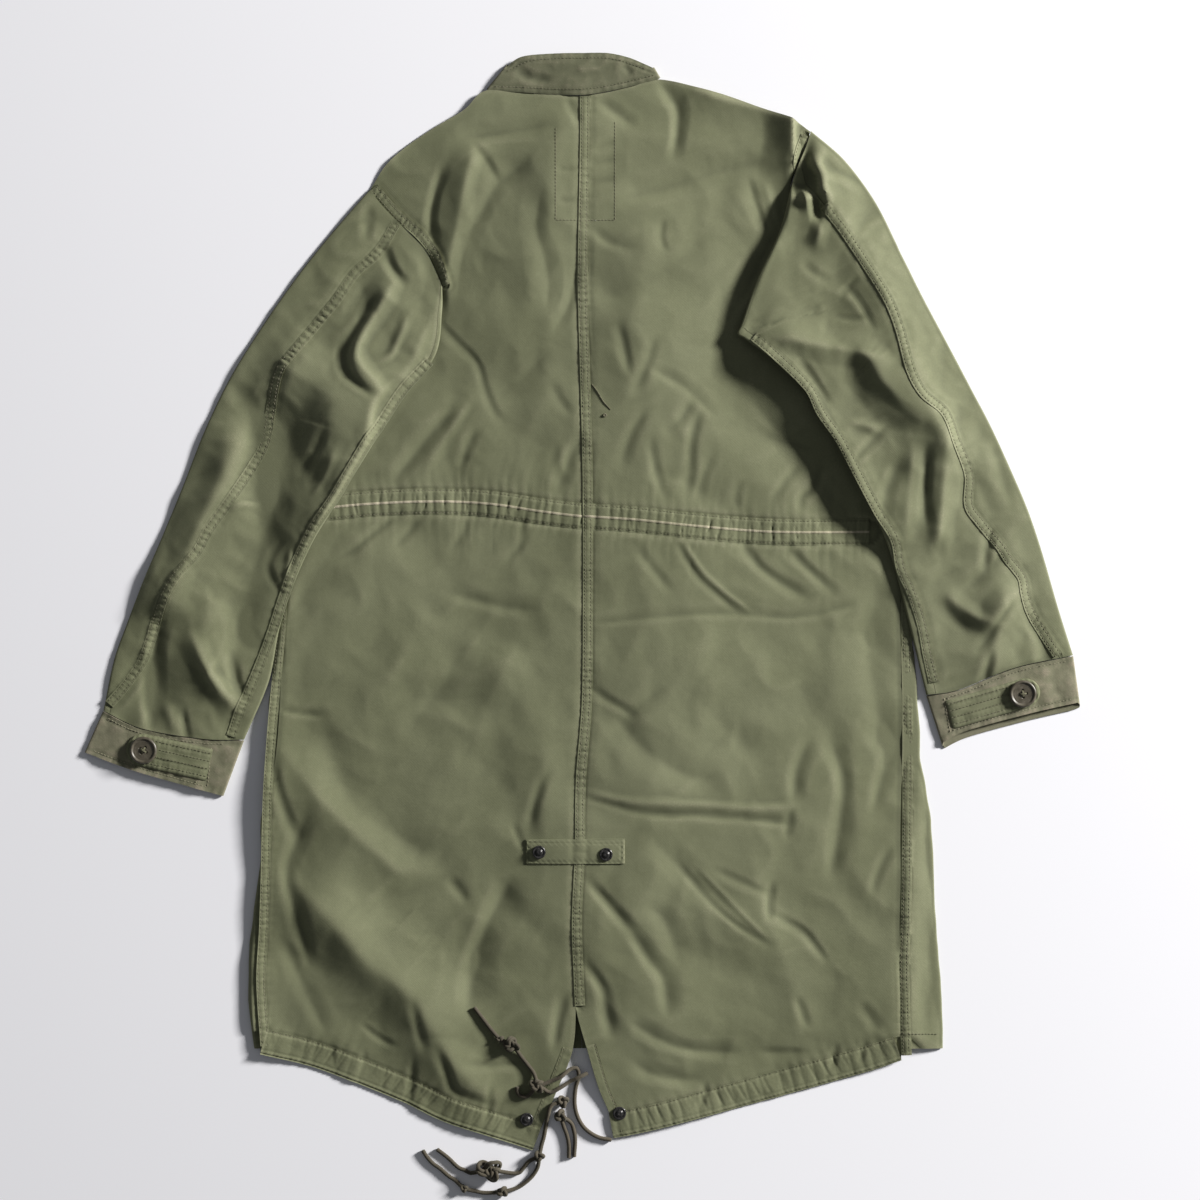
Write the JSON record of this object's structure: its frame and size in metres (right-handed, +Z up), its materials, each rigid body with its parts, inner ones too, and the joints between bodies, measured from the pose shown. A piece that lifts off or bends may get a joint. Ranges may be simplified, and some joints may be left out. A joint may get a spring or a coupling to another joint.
{
  "type": "fishtail parka",
  "caption": "Olive cotton shell parka laid flat with its back up: split fishtail hem, gathered waist channel, button cuffs, loose hem drawcord.",
  "frame": {"origin": "bottom centre of the coat's box as it lies, measured without its drawcord ends", "axes": "+Z up from the surface it lies on, +Y along the back from the tails to the collar, +X towards the sleeve on the right of the view from above"},
  "size_m": [0.9548, 1.0965, 0.0163],
  "materials": {
    "shell": "faded olive cotton-nylon oxford cloth, matt",
    "band": "the same olive cloth doubled and stitched, more worn and browner, matt",
    "button": "dark brown-green moulded plastic, satin",
    "snap": "black enamelled brass, satin, worn at the rim",
    "cord": "braided brown-grey cotton cord, matt"
  },
  "bodies": {
    "root": {"back_left": "shell", "back_right": "shell", "collar": "band", "cord_cross": "cord", "cord_edge": "cord", "cord_fringe_left": "cord", "cord_fringe_right": "cord", "cord_hook": "cord", "cord_low_inner": "cord", "cord_low_inner_free": "cord", "cord_low_middle": "cord", "cord_low_outer": "cord", "cord_low_outer_free": "cord", "cord_right": "cord", "cord_up": "cord", "cord_up_free": "cord", "cuff_button_left": "button", "cuff_button_right": "button", "cuff_left": "band", "cuff_right": "band", "cuff_tab_left": "band", "cuff_tab_right": "band", "front_left": "shell", "front_right": "shell", "knot_cluster": "cord", "knot_fork": "cord", "knot_fringe": "cord", "knot_join": "cord", "knot_low_end": "cord", "knot_side": "cord", "knot_tip": "cord", "knot_up": "cord", "knot_up_end": "cord", "sleeve_back_left": "shell", "sleeve_back_right": "shell", "sleeve_front_left": "shell", "sleeve_front_right": "shell", "snap_strip": "shell", "snap_strip_left": "snap", "snap_strip_right": "snap", "snap_tail_left": "snap", "snap_tail_right": "snap"}
  },
  "joints": []
}
